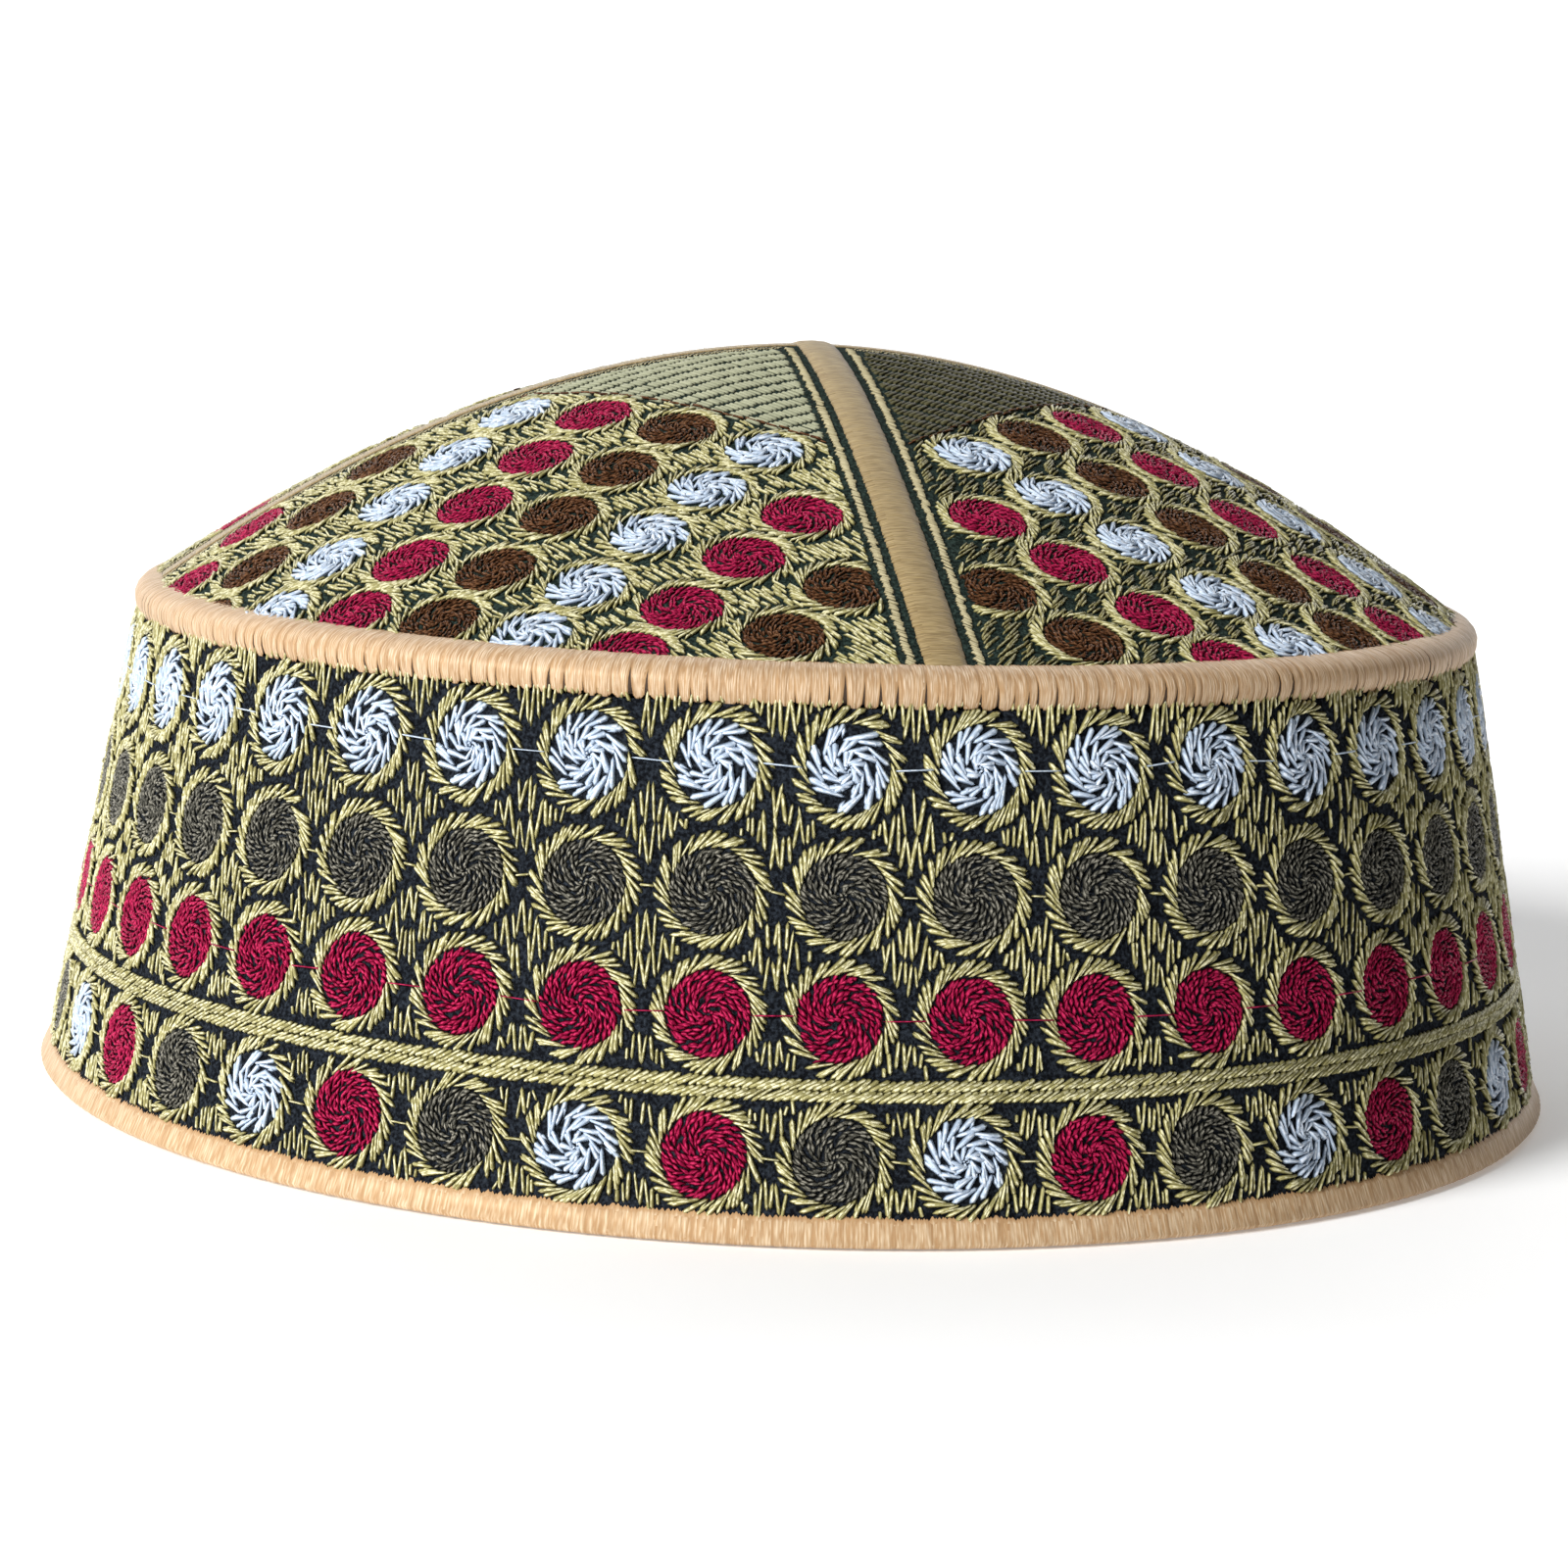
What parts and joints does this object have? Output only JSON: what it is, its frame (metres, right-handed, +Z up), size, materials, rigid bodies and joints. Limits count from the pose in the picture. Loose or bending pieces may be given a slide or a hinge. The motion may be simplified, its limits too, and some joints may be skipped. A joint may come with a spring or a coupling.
{
  "type": "kufi cap",
  "caption": "Low stiff brimless cap with a leaning oval side band, a domed four-gore crown, satin ribs over the joints, corded piping at the fold and a bound rim; hollow inside.",
  "frame": {"origin": "on the resting plane, under the centre of the cap's oval", "axes": "+Z up through the crown; -Y to the front, where the front rib meets the piping; +X to the wearer's left, across the cap"},
  "size_m": [0.1852, 0.195, 0.0905],
  "materials": {
    "band_cloth": "dull woven cotton ground, near black",
    "crown_cloth": "dull woven cotton ground, near black green",
    "satin_piping": "satin-stitched polyester thread, peach",
    "satin_binding": "overlocked polyester thread, peach",
    "rib_satin": "satin-stitched polyester thread, old gold",
    "gold_thread": "glossy rayon embroidery thread, pale gold",
    "white_thread": "glossy rayon embroidery thread, cool white",
    "red_thread": "glossy rayon embroidery thread, crimson",
    "brown_thread": "glossy rayon embroidery thread, dark brown"
  },
  "bodies": {
    "root": {"side_band": "band_cloth", "rim_binding": "satin_binding", "seam_piping": "satin_piping", "crown_gore_1": "crown_cloth", "crown_gore_2": "crown_cloth", "crown_gore_3": "crown_cloth", "crown_gore_4": "crown_cloth", "rib_front_to_back": "rib_satin", "rib_right": "rib_satin", "rib_left": "rib_satin"}
  },
  "joints": []
}
